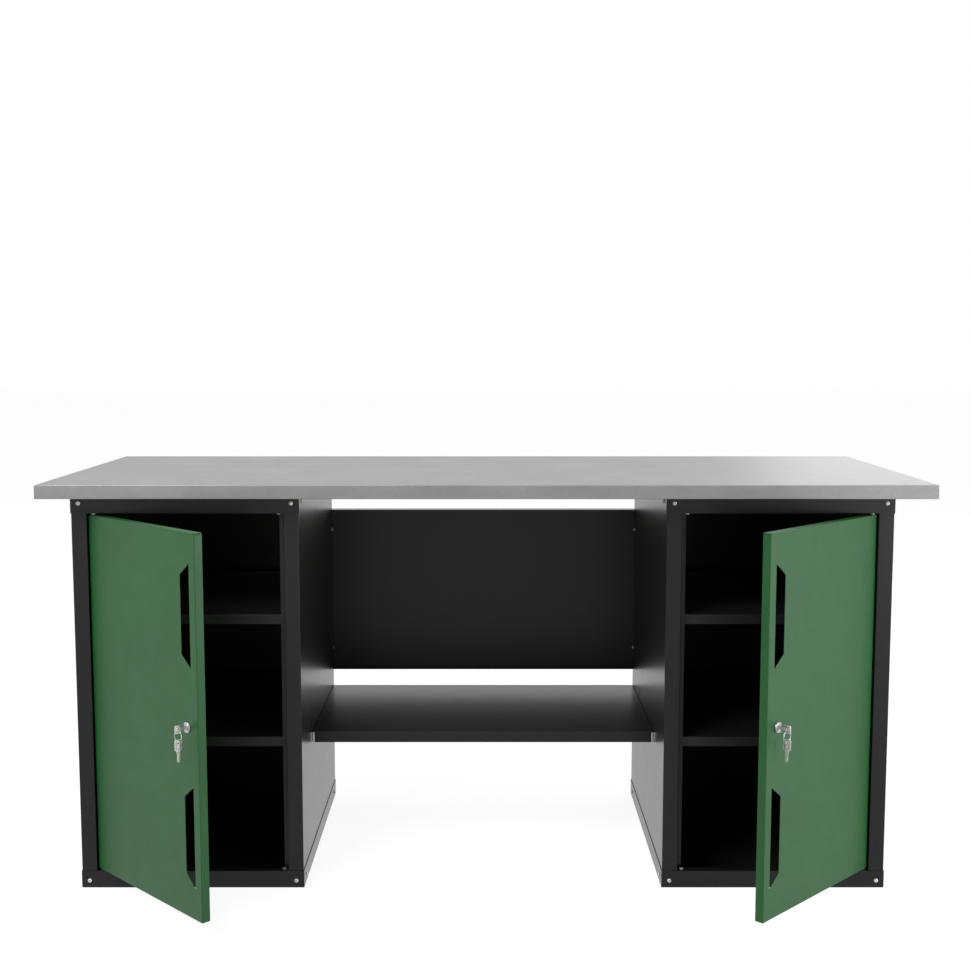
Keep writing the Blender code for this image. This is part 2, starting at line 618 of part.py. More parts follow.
def add_lock(prefix, hinge, mirror):
    """The cam lock, its key, the ring and the spare key, each on its own axis."""
    face = -DOOR_THICKNESS / 2
    outward = (pi / 2, 0, 0)
    axis = (mirror * LOCK_X, face, FITTINGS_HEIGHT)
    rim = [(LOCK_LIP_RADIUS + (LOCK_FLANGE_RADIUS - LOCK_LIP_RADIUS) * sin(angle),
            LOCK_FLANGE_EDGE + (LOCK_DOME - LOCK_FLANGE_EDGE) * cos(angle)) for angle in quarter(3)]
    housing = [(LOCK_BORE_RADIUS, LOCK_DOME - LOCK_LIP_DROP), *rim, (LOCK_FLANGE_RADIUS, FIT),
               (LOCK_BARREL_RADIUS, FIT), (LOCK_BARREL_RADIUS, -LOCK_LENGTH),
               (LOCK_BORE_RADIUS, -LOCK_LENGTH)]
    turned(prefix + "_lock_housing", housing, CHROME, hinge, axis, outward, 24)

    nut_radius = NUT_ACROSS / 2 / cos(pi / 6)
    hexagon = circle((0, 0), nut_radius, 6)
    bore = circle((0, 0), LOCK_BARREL_RADIUS + HOLE_PLAY, 24)
    nut_y = face + SHEET + FIT + NUT_THICKNESS / 2
    link(prefix + "_lock_nut", plate(prefix + "_lock_nut", hexagon, NUT_THICKNESS, [bore]), ZINC, hinge,
         (axis[0], nut_y, axis[2]), outward)

    lock = empty(prefix + "_lock_axis", hinge, axis)
    plug_back = -LOCK_LENGTH - CAM_GAP
    plug_front = LOCK_DOME - PLUG_RECESS
    plug_profile = [(0, plug_front), (PLUG_RADIUS - PLUG_RECESS, plug_front),
                    (PLUG_RADIUS, plug_front - PLUG_RECESS), (PLUG_RADIUS, plug_back), (0, plug_back)]
    plug = turned(prefix + "_lock_plug", plug_profile, CHROME, lock, (0, 0, 0), outward, 24)
    boss = bmesh.new()
    boss_end = -plug_back + FIT + CAM_THICKNESS
    add_box(boss, (-BOSS_SIZE / 2, -plug_back - OVERRUN, -BOSS_SIZE / 2),
            (BOSS_SIZE / 2, boss_end, BOSS_SIZE / 2))
    combine(plug, as_cutter(prefix + "_plug_boss", boss, lock), "UNION")
    keyway = bmesh.new()
    slot = (KEY_THICKNESS / 2 + KEYWAY_PLAY, BLADE_WIDTH / 2 + KEYWAY_PLAY)
    add_box(keyway, (-slot[0], -plug_front - OVERRUN, -slot[1]),
            (slot[0], -plug_front - FIT + BLADE_LENGTH + KEYWAY_END_PLAY, slot[1]))
    combine(plug, as_cutter(prefix + "_keyway", keyway, lock))

    tip = CAM_LENGTH - CAM_WIDTH / 4
    outline = rounded_loop([(-CAM_WIDTH / 2, CAM_WIDTH / 2), (-CAM_WIDTH / 2, -tip + CAM_WIDTH / 4),
                            (-CAM_WIDTH / 4, -CAM_LENGTH), (CAM_WIDTH / 4, -CAM_LENGTH),
                            (CAM_WIDTH / 2, -tip + CAM_WIDTH / 4), (CAM_WIDTH / 2, CAM_WIDTH / 2)],
                           CAM_CORNER)
    window = BOSS_SIZE / 2 + FIT
    square = [(-window, -window), (window, -window), (window, window), (-window, window)]
    cam_y = -plug_back + FIT + CAM_THICKNESS / 2
    link(prefix + "_lock_cam", plate(prefix + "_lock_cam", outline, CAM_THICKNESS, [square]), ZINC, lock,
         (0, cam_y, 0), outward)
    head_y = cam_y + CAM_THICKNESS / 2 + FIT
    cam_screw = [(0, 0), (CAM_SCREW_RADIUS, 0), (CAM_SCREW_RADIUS, CAM_SCREW_CHAMFER - CAM_SCREW_HEAD),
                 (CAM_SCREW_RADIUS - CAM_SCREW_CHAMFER, -CAM_SCREW_HEAD), (0, -CAM_SCREW_HEAD)]
    turned(prefix + "_cam_screw", cam_screw, ZINC, lock, (0, head_y, 0), outward, 16)

    shoulder = -plug_front - FIT
    key = empty(prefix + "_key_axis", lock, (0, shoulder, 0))
    add_key(prefix + "_key", key, (pi / 2, 0, -pi / 2))

    seat = KEY_HOLE_RADIUS - RING_WIRE - FIT
    ring_axis = empty(prefix + "_ring_axis", key, (0, -KEY_HOLE_X, -seat))
    add_ring(prefix + "_key_ring", ring_axis)
    spare_axis = empty(prefix + "_spare_axis", ring_axis, (0, 0, -2 * RING_RADIUS))
    add_key(prefix + "_spare_key", spare_axis, (pi, -pi / 2, 0),
            (0, 0, -seat - KEY_HOLE_X))


def add_ring(name, parent):
    """A wire ring hanging from its top, in the plane of the door."""
    bpy.ops.mesh.primitive_torus_add(major_segments=RING_STEPS, minor_segments=WIRE_SIDES,
                                     major_radius=RING_RADIUS, minor_radius=RING_WIRE)
    wire = bpy.context.object
    data = wire.data
    bpy.data.objects.remove(wire, do_unlink=True)
    data.transform(Matrix.Translation((0, 0, -RING_RADIUS)) @ Matrix.Rotation(pi / 2, 4, "X"))
    shade(link(name, data, NICKEL, parent), 60)


def add_pedestal(prefix, root, mirror):
    """One cupboard; mirror is 1 for the left one and -1 for the right one."""
    pedestal = empty(prefix + "_pedestal", root,
                     (PAIR_OFFSET - mirror * PEDESTAL_SPACING / 2, PEDESTAL_SETBACK, 0))
    side_panel(prefix + "_outer_side_panel", pedestal, -mirror)
    side_panel(prefix + "_inner_side_panel", pedestal, mirror)
    rear_panel(prefix + "_rear_panel", pedestal)
    tray(prefix + "_top_tray", pedestal, bottom=False)
    tray(prefix + "_base_tray", pedestal, bottom=True)
    for level, top in SHELF_TOPS.items():
        shelf(f"{prefix}_{level}_shelf", pedestal, top)
    corner_screws(prefix, pedestal)
    pivot_fittings(prefix, pedestal, mirror)
    hinge = empty(prefix + "_hinge", pedestal, (-mirror * PIVOT_X, PIVOT_Y, DOOR_BOTTOM),
                  (0, 0, -mirror * DOOR_ANGLE))
    door_panel(prefix + "_door", hinge, mirror)
    add_lock(prefix, hinge, mirror)


def add_knee_space(root):
    """The back panel between the pedestals' rear edges and the low shelf."""
    left, right = KNEE_LEFT + FIT, KNEE_RIGHT - FIT
    bm = pan((left, PEDESTAL_BACK - BACK_PANEL_FLANGE, BACK_PANEL_BOTTOM),
             (right, PEDESTAL_BACK, BACK_PANEL_BOTTOM + BACK_PANEL_HEIGHT), (0, -1, 0))
    panel = link("knee_back_panel", mesh_from(bm, "knee_back_panel"), BLACK, root)
    bevel(panel, BEND)
    solidify(panel, SHEET)
    shade(panel)

    rear = PEDESTAL_BACK - MIDDLE_SHELF_REAR_GAP
    front = rear - MIDDLE_SHELF_DEPTH
    bm = pan((left, front, MIDDLE_SHELF_TOP - MIDDLE_SHELF_FLANGE), (right, rear, MIDDLE_SHELF_TOP),
             (0, 0, -1))
    folded = link("middle_shelf", mesh_from(bm, "middle_shelf"), BLACK, root)
    bevel(folded, BEND)
    solidify(folded, SHEET)
    notches = bmesh.new()
    for end in (left, right):
        add_box(notches, (end - CORNER_NOTCH, front - BEND, 0),
                (end + CORNER_NOTCH, front + 2 * SHEET, MIDDLE_SHELF_TOP - BEND - SHEET))
    combine(folded, as_cutter("middle_shelf_notches", notches, root))
    shade(folded)


def bench_middle():
    """Y of the middle of the bench, between a free door corner and the worktop's rear edge."""
    hinge = PEDESTAL_SETBACK + PIVOT_Y
    corner = hinge - DOOR_REACH * sin(DOOR_ANGLE) - DOOR_THICKNESS / 2 * cos(DOOR_ANGLE)
    rounding = DOOR_EDGE_BEND * (sin(DOOR_ANGLE) + cos(DOOR_ANGLE) - 1)
    return (corner + rounding + TOP_DEPTH) / 2


def main():
    root = empty("bench_origin", None, (0, -bench_middle(), 0))
    add_worktop(root)
    add_knee_space(root)
    for prefix, mirror in (("left", 1), ("right", -1)):
        add_pedestal(prefix, root, mirror)


main()
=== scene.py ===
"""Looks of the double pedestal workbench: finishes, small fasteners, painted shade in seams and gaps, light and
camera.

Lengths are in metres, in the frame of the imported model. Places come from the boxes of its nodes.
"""

import json
from math import cos, pi, radians, sin

import bmesh
import bpy
from mathutils import Matrix, Vector


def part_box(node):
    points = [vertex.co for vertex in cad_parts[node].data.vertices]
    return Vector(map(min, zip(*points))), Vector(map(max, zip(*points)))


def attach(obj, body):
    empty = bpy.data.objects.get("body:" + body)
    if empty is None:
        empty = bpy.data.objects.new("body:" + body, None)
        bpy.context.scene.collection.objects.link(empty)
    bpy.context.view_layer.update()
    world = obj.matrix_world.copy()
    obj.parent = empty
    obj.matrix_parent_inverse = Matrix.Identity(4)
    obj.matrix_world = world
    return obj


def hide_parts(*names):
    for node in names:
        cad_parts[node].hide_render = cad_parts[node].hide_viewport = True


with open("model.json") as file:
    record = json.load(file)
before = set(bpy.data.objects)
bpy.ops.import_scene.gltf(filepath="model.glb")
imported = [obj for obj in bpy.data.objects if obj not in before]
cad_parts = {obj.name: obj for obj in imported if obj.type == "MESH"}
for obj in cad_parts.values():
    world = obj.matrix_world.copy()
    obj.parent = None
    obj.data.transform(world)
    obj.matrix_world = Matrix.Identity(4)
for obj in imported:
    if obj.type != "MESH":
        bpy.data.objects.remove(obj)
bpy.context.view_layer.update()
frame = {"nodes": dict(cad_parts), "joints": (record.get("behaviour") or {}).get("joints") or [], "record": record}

# Each pedestal with the sign of X from it to the knee space
SIDES = {"left": 1, "right": -1}
TOP_LOW, TOP_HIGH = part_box("worktop_cover")

# Camera, fitted to the photograph's straight edges
CAMERA_X = -0.0035
CAMERA_BEFORE_TOP = 2.6593
CAMERA_OVER_TOP = 0.2791
CAMERA_PITCH = radians(5.98)
CAMERA_LENS = 50.0
SENSOR_WIDTH = 36.0
CAMERA_FAR = 100.0

# Screws: the head over the sheet, turned on from one screw to the next, and the threaded shank behind it
HEAD_RADIUS = 0.0045
HEAD_HEIGHT = 0.0026
HEAD_RINGS = (0.0, 0.10, 0.19, 0.28, 0.36, 0.43, 0.50, 0.62, 0.75, 0.87, 0.96, 1.0)
HEAD_SEGMENTS = 48
HEAD_TURN = 2.4
SEAT_GAP = 0.0003
CROSS_REACH = 0.0021
CROSS_WIDTH = 0.00055
CROSS_DEPTH = 0.0011
CROSS_RISE = 0.45
SHANK_LENGTH = 0.0085
SMALL_SHANK_LENGTH = 0.0024
THREAD_PITCH = 0.0012
THREAD_CREST = 0.0020
THREAD_ROOT = 0.00165
TIP_RADIUS = 0.0015
TIP_LENGTH = 0.0005

# Places of the screws from the edges of what they hold
SIDE_SCREW_SETBACK = 0.035
FLANGE_SHEET = 0.001
PANEL_SCREW_DEPTH = 0.0105
PANEL_SCREW_RISE = 0.053
PANEL_SCREW_DROP = 0.0493
SHELF_SCREW_INSET = 0.060

# Keys, ring and lock, fitted to the solids that they stand for
BOW_LENGTH = 0.0208
BOW_WIDTH = 0.0158
BOW_CORNER = 0.0025
BOW_RIM = 0.0016
BOW_RIM_CORNER = 0.0014
BOW_MIDDLE_INSET = 0.0026
BOW_MIDDLE_SIDE_INSET = 0.0046
BOW_MIDDLE_CORNER = 0.0010
BOW_FLOOR_DROP = 0.0007
BOW_MIDDLE_DROP = 0.0001
COLLAR_LENGTH = 0.0031
COLLAR_WIDTH = 0.0100
COLLAR_OVERLAP = 0.001
BLADE_LENGTH = 0.0215
BLADE_WIDTH = 0.0063
BLADE_OVERLAP = 0.0002
BLADE_FLOOR_DROP = 0.0008
RIB_SHARE = 0.30
RAIL_SHARE = 0.62
RAIL_TIP_SHARE = 0.8
KEY_THICKNESS = 0.0020
KEY_HOLE_X = 0.0169
KEY_HOLE_RADIUS = 0.0021
HOLE_SIDES = 28
CORNER_STEPS = 5
# Painted shade on the keys' low flat faces: the depths between which it fades out, and the share of the colour
# left under it
RECESS_SHADE_LOW = 0.00070
RECESS_SHADE_HIGH = 0.00090
RECESS_SHADE_SHARE = 0.58
TOOTH_DEPTHS = (0.0007, 0.0014, 0.0007, 0.0014, 0.0007)
TOOTH_SLOPE = 0.42
LAYER_EDGE = 0.00015
RING_RADIUS = 0.0122
COIL_WIRE = 0.00046
COIL_TURNS = 2
COIL_STEPS = 192
COIL_SIDES = 12
COIL_CLOSENESS = 0.95
LOCK_RADIUS = 0.0108
LOCK_EDGE = 0.0008
LOCK_BORE = 0.0068
LOCK_GROOVE = 0.0020
LOCK_DOME = 0.0042
LOCK_STEPS = 10
LOCK_SEGMENTS = 72
# From the bore out, and below the dome's top
GROOVE_STEPS = ((0, 0.0012), (0.0004, 0.0008), (0.0010, 0.0008), (0.0013, 0.0001))
LOCK_BARREL = 0.0091
LOCK_LENGTH = 0.0200

# Painted shade strip over the seam where a door's top edge meets its free edge, which is DOOR_REACH from the
# hinge's axis
DOOR_REACH = 0.38475
DOOR_HALF = 0.00865
DOOR_EDGE_BEND = 0.0016
SEAM_DROP = 0.0014
SEAM_DIP = 0.0019
SEAM_END_INSET = 0.0002
SEAM_HALF = 0.0005
SEAM_PROUD = 0.00003
SEAM_DEPTH = 0.0004
SEAM_STEPS = 10

# Strips of painted shade for the shadow gaps on a pedestal's side: under the top tray and over the low shelf's end
TRAY_JOINT_HALF = 0.0004
TRAY_JOINT_INSET = 0.004
SHELF_JOINT_HALF = 0.0006
SHELF_JOINT_INSET = 0.002

# Studio: the floor, and the world's levels in front of the bench and behind it
FLOOR_SIZE = 60.0
FLOOR_DROP = 0.0006
FLOOR_ALBEDO = 0.80
FLOOR_SEEN_ALBEDO = 0.35
FLOOR_LIFT = 0.90
GLOSSY_FRONT = 0.452
GLOSSY_BACK = 1.0
DIFFUSE_FRONT = 0.12
DIFFUSE_BACK = 0.30
SKY_FRONT_END = -0.45
SKY_BACK_START = 0.25

# Area lamps: name, place, aim, size and power in watts
BENCH_MIDDLE = (0, 0, 0.5)
LAMPS = (
    ("key_left", (-2.6, -3.2, 4.2), BENCH_MIDDLE, (2.4, 2.0), 137),
    ("key_right", (2.6, -3.2, 4.2), BENCH_MIDDLE, (2.4, 2.0), 24),
    ("overhead", (0, 0.8, 4.6), BENCH_MIDDLE, (4.0, 2.0), 15),
    ("front_left_fill", (-1.6, -3.4, 1.6), BENCH_MIDDLE, (1.6, 1.2), 8),
    ("edge_light", (2.6, -1.35, 0.65), (-0.5, -0.4, 0.6), (0.8, 0.6), 24),
    ("back_wall_right", (2.45, 4.0, 1.6), (2.45, 0, 1.5), (2.0, 2.6), 29),
    ("right_front", (2.15, -3.5, 0.55), (0.9, 0, 0.6), (0.8, 0.9), 3),
)

# Textures of the finishes: cells per metre, shares of the base colour, strengths and heights of the bumps
COAT_CLOUD = 7.0
COAT_SKIN = 420.0
COAT_PEEL = 130.0
COAT_GLOSS = 24.0
COAT_TONES = (0.93, 1.07)
COAT_BUMP = 0.0004
ZINC_CLOUD = 8.0
ZINC_GRAIN = 260.0
ZINC_SPANGLE = 95.0
ZINC_TONES = (0.95, 1.05)
ZINC_ROUGHNESS = (0.46, 0.50)
ZINC_EDGE_TINT = 0.78
SPANGLE_TONES = (0.97, 1.03)
ZINC_STRENGTH = 0.08
ZINC_BUMP = 0.0002
PLATE_CLOUD = 160.0
PLATE_TONES = (0.92, 1.04)
PLATE_SHINE = 0.05
PLATE_DULL = 0.07
SCRATCH_STRETCH = (60.0, 60.0, 900.0)
SCRATCH_SCALE = 12.0
SCRATCH_STRENGTH = 0.05
SCRATCH_BUMP = 0.0001
CHIP_FLAKE = 300.0
CHIP_STRENGTH = 0.3
CHIP_BUMP = 0.0004

# Nodes' meshes, and the angles in degrees over which an edge is drawn sharp
WELD_GAP = 0.00001
BEND_ANGLE = 35
SCREW_ANGLE = 40
KEY_ANGLE = 30
COIL_ANGLE = 40
LOCK_ANGLE = 28


def linear(channel):
    """One sRGB channel from 0 to 255, as linear light."""
    value = channel / 255
    return value / 12.92 if value <= 0.04045 else ((value + 0.055) / 1.055) ** 2.4


def colour(red, green, blue):
    """A colour from sRGB channels."""
    return (linear(red), linear(green), linear(blue), 1.0)


def grey(level):
    return (level, level, level, 1.0)


def node(tree, kind, inputs=None, **settings):
    """A shader node; inputs are values or sockets to link."""
    made = tree.nodes.new(kind)
    for key, value in settings.items():
        setattr(made, key, value)
    for key, value in (inputs or {}).items():
        if isinstance(value, bpy.types.NodeSocket):
            tree.links.new(value, made.inputs[key])
        else:
            made.inputs[key].default_value = value
    return made


def surface(name, roughness, metallic=0.0):
    """A new Principled material, with its tree, its shader and its object coordinates."""
    made = bpy.data.materials.new(name)
    made.use_nodes = True
    tree = made.node_tree
    shader = tree.nodes["Principled BSDF"]
    shader.inputs["Roughness"].default_value = roughness
    shader.inputs["Metallic"].default_value = metallic
    place = node(tree, "ShaderNodeTexCoord").outputs["Object"]
    return made, tree, shader, place


def noise(tree, place, scale, detail=2.0, roughness=0.5):
    made = node(tree, "ShaderNodeTexNoise",
                {"Vector": place, "Scale": scale, "Detail": detail, "Roughness": roughness})
    return made.outputs["Fac"]


def spread(tree, factor, low, high, start=0.3, end=0.7):
    """Map a noise's middle range to low and high."""
    made = node(tree, "ShaderNodeMapRange",
                {"Value": factor, "From Min": start, "From Max": end, "To Min": low, "To Max": high})
    return made.outputs["Result"]


def blend_colours(tree, factor, first, second):
    made = node(tree, "ShaderNodeMix", data_type="RGBA")
    tree.links.new(factor, made.inputs["Factor"])
    made.inputs["A"].default_value = first
    made.inputs["B"].default_value = second
    return colour_output(made)


def shaded(rgba, share):
    return (*(channel * share for channel in rgba[:3]), 1.0)


def clouded(tree, cloud, rgba, tones):
    """A colour that sways between two shares of itself."""
    low, high = tones
    return blend_colours(tree, spread(tree, cloud, 0.0, 1.0), shaded(rgba, low), shaded(rgba, high))


def colour_output(made):
    return next(socket for socket in made.outputs if socket.type == "RGBA")


def bump(tree, height, strength, distance):
    made = node(tree, "ShaderNodeBump", {"Height": height, "Strength": strength, "Distance": distance})
    return made.outputs["Normal"]


def powder_coat(name, rgba, roughness, peel=0.10, specular=0.5, sway=0.03):
    """Baked powder: an even colour, a faint cloud and a fine orange-peel skin."""
    made, tree, shader, place = surface(name, roughness)
    shader.inputs["Specular IOR Level"].default_value = specular
    cloud = noise(tree, place, COAT_CLOUD, 3.0)
    tree.links.new(clouded(tree, cloud, rgba, COAT_TONES), shader.inputs["Base Color"])
    skin = noise(tree, place, COAT_SKIN, 2.0, 0.6)
    coarse = noise(tree, place, COAT_PEEL, 1.0)
    height = node(tree, "ShaderNodeMath", {0: skin, 1: coarse}, operation="ADD").outputs[0]
    tree.links.new(bump(tree, height, peel, COAT_BUMP), shader.inputs["Normal"])
    gloss = spread(tree, noise(tree, place, COAT_GLOSS, 2.0), roughness - sway, roughness + sway)
    tree.links.new(gloss, shader.inputs["Roughness"])
    return made


def galvanised(name):
    """Zinc-coated sheet: soft clouds of tone and gloss over a low-contrast spangle."""
    made, tree, shader, place = surface(name, 0.48, 1.0)
    cloud = noise(tree, place, ZINC_CLOUD, 2.0, 0.45)
    grain = noise(tree, place, ZINC_GRAIN, 2.0)
    spangle = node(tree, "ShaderNodeTexVoronoi", {"Vector": place, "Scale": ZINC_SPANGLE}).outputs["Color"]
    facet = node(tree, "ShaderNodeSeparateColor", {"Color": spangle}).outputs["Red"]
    shader.inputs["Specular Tint"].default_value = grey(ZINC_EDGE_TINT)
    tone = clouded(tree, cloud, colour(175, 175, 175), ZINC_TONES)
    crystal = blend_colours(tree, facet, *(grey(share) for share in SPANGLE_TONES))
    both = node(tree, "ShaderNodeMix", {"Factor": 1.0}, data_type="RGBA", blend_type="MULTIPLY")
    tree.links.new(tone, both.inputs["A"])
    tree.links.new(crystal, both.inputs["B"])
    tree.links.new(colour_output(both), shader.inputs["Base Color"])
    tree.links.new(spread(tree, cloud, *ZINC_ROUGHNESS), shader.inputs["Roughness"])
    tree.links.new(bump(tree, grain, ZINC_STRENGTH, ZINC_BUMP), shader.inputs["Normal"])
    return made


def plated(name, rgba, roughness, metallic=1.0):
    """Plated metal with faint drawn scratches."""
    made, tree, shader, place = surface(name, roughness, metallic)
    drawn = node(tree, "ShaderNodeMapping", {"Vector": place, "Scale": SCRATCH_STRETCH}).outputs["Vector"]
    scratch = noise(tree, drawn, SCRATCH_SCALE, 3.0)
    cloud = noise(tree, place, PLATE_CLOUD, 2.0)
    tree.links.new(clouded(tree, cloud, rgba, PLATE_TONES), shader.inputs["Base Color"])
    gloss = spread(tree, scratch, roughness - PLATE_SHINE, roughness + PLATE_DULL)
    tree.links.new(gloss, shader.inputs["Roughness"])
    tree.links.new(bump(tree, scratch, SCRATCH_STRENGTH, SCRATCH_BUMP), shader.inputs["Normal"])
    return made


def plated_with_recess_shade(name, rgba, roughness):
    """Plated metal with painted shade: its flat faces are darker below their raised parts."""
    made = plated(name, rgba, roughness)
    tree = made.node_tree
    shader = tree.nodes["Principled BSDF"]
    plain = shader.inputs["Base Color"].links[0].from_socket
    found = node(tree, "ShaderNodeTexCoord")
    depth = node(tree, "ShaderNodeSeparateXYZ", {"Vector": found.outputs["Object"]}).outputs["Z"]
    facing = node(tree, "ShaderNodeSeparateXYZ", {"Vector": found.outputs["Normal"]}).outputs["Z"]
    level = node(tree, "ShaderNodeMath", {0: depth}, operation="ABSOLUTE").outputs[0]
    flat = node(tree, "ShaderNodeMath", {0: facing}, operation="ABSOLUTE").outputs[0]
    low = spread(tree, level, 1.0, 0.0, RECESS_SHADE_LOW, RECESS_SHADE_HIGH)
    face = spread(tree, flat, 0.0, 1.0)
    both = node(tree, "ShaderNodeMath", {0: low, 1: face}, operation="MULTIPLY").outputs[0]
    # Painted shade: the base colour darkened on the low flat faces
    recess_shade = node(tree, "ShaderNodeMix", {"Factor": both}, data_type="RGBA", blend_type="MULTIPLY")
    tree.links.new(plain, recess_shade.inputs["A"])
    recess_shade.inputs["B"].default_value = grey(RECESS_SHADE_SHARE)
    tree.links.new(colour_output(recess_shade), shader.inputs["Base Color"])
    return made


def chipboard(name):
    """Pressed flakes in several browns."""
    made, tree, shader, place = surface(name, 0.85)
    flake = node(tree, "ShaderNodeTexVoronoi", {"Vector": place, "Scale": CHIP_FLAKE}).outputs["Color"]
    pick = node(tree, "ShaderNodeSeparateColor", {"Color": flake}).outputs["Red"]
    tone = blend_colours(tree, pick, colour(150, 116, 76), colour(206, 172, 124))
    tree.links.new(tone, shader.inputs["Base Color"])
    tree.links.new(bump(tree, pick, CHIP_STRENGTH, CHIP_BUMP), shader.inputs["Normal"])
    return made


FINISHES = {
    "galvanised_steel": galvanised("galvanised_sheet"),
    "chipboard": chipboard("raw_chipboard"),
    "black_powder_coat": powder_coat("black_coat", colour(33, 33, 33), 0.30, 0.006, sway=0.008),
    "green_powder_coat": powder_coat("green_coat", colour(17, 92, 35), 0.46, 0.10, 0.6),
    "zinc_plated_steel": plated("bright_zinc", colour(246, 245, 242), 0.40, 0.35),
    "lock_chrome": plated("satin_chrome", colour(214, 214, 214), 0.30),
    "key_nickel": plated("key_nickel_plate", colour(240, 239, 236), 0.36),
}
# The keys' nickel, with painted shade on their low flat faces
KEY_FINISH = plated_with_recess_shade("nickel_with_recess_shade", colour(244, 243, 240), 0.34)
# Dark matt finishes with no specular, for the strips of painted shade in seams and gaps
SEAM_SHADE_FINISHES = {"green": powder_coat("green_seam_shadow", colour(6, 24, 9), 0.70, specular=0.0),
                 "black": powder_coat("black_seam_shadow", colour(14, 14, 14), 0.80, specular=0.0)}


def dress_nodes():
    """Give each node the finish of its slot, smooth bends and flat faces."""
    for part in frame["record"]["subparts"]:
        item = frame["nodes"][part["node"]]
        item.data.materials.clear()
        item.data.materials.append(FINISHES[part["material_slot"]])
        weld = item.modifiers.new("weld", "WELD")
        weld.merge_threshold = WELD_GAP
        item.data.shade_smooth()
        split = item.modifiers.new("bends", "EDGE_SPLIT")
        split.split_angle = radians(BEND_ANGLE)
        flat = item.modifiers.new("flat_faces", "WEIGHTED_NORMAL")
        flat.keep_sharp = True


def piece(name, data, finish, body, matrix=None):
    """Place a piece that moves with a body and takes its finish from a slot."""
    item = bpy.data.objects.new(name, data)
    bpy.context.scene.collection.objects.link(item)
    if matrix is not None:
        item.matrix_world = matrix
    if not data.materials:
        data.materials.append(finish)
    bpy.context.view_layer.update()
    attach(item, body)
    return item


def to_mesh(bm, name, angle=BEND_ANGLE):
    data = bpy.data.meshes.new(name)
    bm.to_mesh(data)
    bm.free()
    data.shade_smooth()
    data.set_sharp_from_angle(angle=radians(angle))
    return data


def axes(origin, forward, up):
    """The matrix that takes +X to forward and +Y to up."""
    forward, up = Vector(forward).normalized(), Vector(up).normalized()
    across = forward.cross(up)
    turn = Matrix((forward, up, across)).transposed().to_4x4()
    return Matrix.Translation(origin) @ turn


def lathe(profile, steps, name, height=None, angle=BEND_ANGLE):
    """Turn radius and height pairs about Z; height may carve each ring by its place."""
    bm = bmesh.new()
    rings = []
    for radius, level in profile:
        if radius == 0:
            rings.append([bm.verts.new((0, 0, level + (height(0, 0) if height else 0)))])
            continue
        ring = []
        for step in range(steps):
            x, y = radius * cos(2 * pi * step / steps), radius * sin(2 * pi * step / steps)
            ring.append(bm.verts.new((x, y, level + (height(x, y) if height else 0))))
        rings.append(ring)
    for first, second in zip(rings, rings[1:]):
        for step in range(steps):
            after = (step + 1) % steps
            if len(first) == 1:
                bm.faces.new((first[0], second[step], second[after]))
            elif len(second) == 1:
                bm.faces.new((first[step], second[0], first[after]))
            else:
                bm.faces.new((first[step], second[step], second[after], first[after]))
    bmesh.ops.recalc_face_normals(bm, faces=bm.faces)
    return to_mesh(bm, name, angle)


def screw_mesh(name, shank_length):
    """A domed head with a cross recess, on a threaded shank; +Z points out of the sheet."""
    def recess(x, y):
        reach = max(abs(x), abs(y))
        width = min(abs(x), abs(y))
        inside = width < CROSS_WIDTH and reach < CROSS_REACH
        return -CROSS_DEPTH * (1 - CROSS_RISE * reach / CROSS_REACH) if inside else 0.0

    profile = [(HEAD_RADIUS * ring, SEAT_GAP + HEAD_HEIGHT * (1 - ring * ring) ** 0.5) for ring in HEAD_RINGS]
    threads = int(shank_length / THREAD_PITCH)
    shank = [(THREAD_CREST, SEAT_GAP)]
    for turn in range(threads):
        shank += [(THREAD_CREST, -turn * THREAD_PITCH), (THREAD_ROOT, -(turn + 0.5) * THREAD_PITCH)]
    shank += [(TIP_RADIUS, -shank_length), (0, -shank_length - TIP_LENGTH)]
    return lathe(profile + shank, HEAD_SEGMENTS, name, recess, SCREW_ANGLE)


def screw_matrix(place, outward, turn):
    """Head out along outward, turned about its own axis."""
    aim = Vector(outward).to_track_quat("Z", "Y").to_matrix().to_4x4()
    return Matrix.Translation(place) @ aim @ Matrix.Rotation(turn, 4, "Z")


def add_screws():
    """The trays' corner screws in place of the plain ones, and the small ones of the joints behind."""
    long, short = screw_mesh("tray_screw", SHANK_LENGTH), screw_mesh("flange_screw", SMALL_SHANK_LENGTH)
    finish = FINISHES["zinc_plated_steel"]
    made = 0

    def add(name, place, outward, mesh=short):
        nonlocal made
        made += 1
        return piece(name, mesh, finish, "bench",
                     screw_matrix(place, outward, made * HEAD_TURN))

    for side in SIDES:
        for level in ("lower", "upper"):
            for end in ("left", "right"):
                plain = f"{side}_{level}_{end}_screw"
                low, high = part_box(plain)
                seat = low.y + SEAT_GAP + HEAD_HEIGHT
                place = ((low.x + high.x) / 2, seat, (low.z + high.z) / 2)
                item = add(f"{plain}_head", place, (0, -1, 0), long)
                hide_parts(plain)
        for level, tray in (("lower", "base"), ("upper", "top")):
            low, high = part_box(f"{side}_{tray}_tray")
            low_screw, high_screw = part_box(f"{side}_{level}_left_screw")
            height = (low_screw.z + high_screw.z) / 2
            inset = (low_screw.x + high_screw.x) / 2 - low.x
            for end, x, outward in (("left", low.x, (-1, 0, 0)), ("right", high.x, (1, 0, 0))):
                for row, y in (("front", low.y + SIDE_SCREW_SETBACK), ("rear", high.y - SIDE_SCREW_SETBACK)):
                    add(f"{side}_{tray}_{end}_{row}_side_screw", (x, y, height), outward)
            for end, x in (("left", low.x + inset), ("right", high.x - inset)):
                add(f"{side}_{tray}_{end}_rear_screw", (x, high.y, height), (0, 1, 0))
    add_flange_screws(add)


def flange_ends(low, high):
    """The inner faces of a box's side flanges, with the way each one faces."""
    return (("left", low.x + FLANGE_SHEET, (1, 0, 0)), ("right", high.x - FLANGE_SHEET, (-1, 0, 0)))


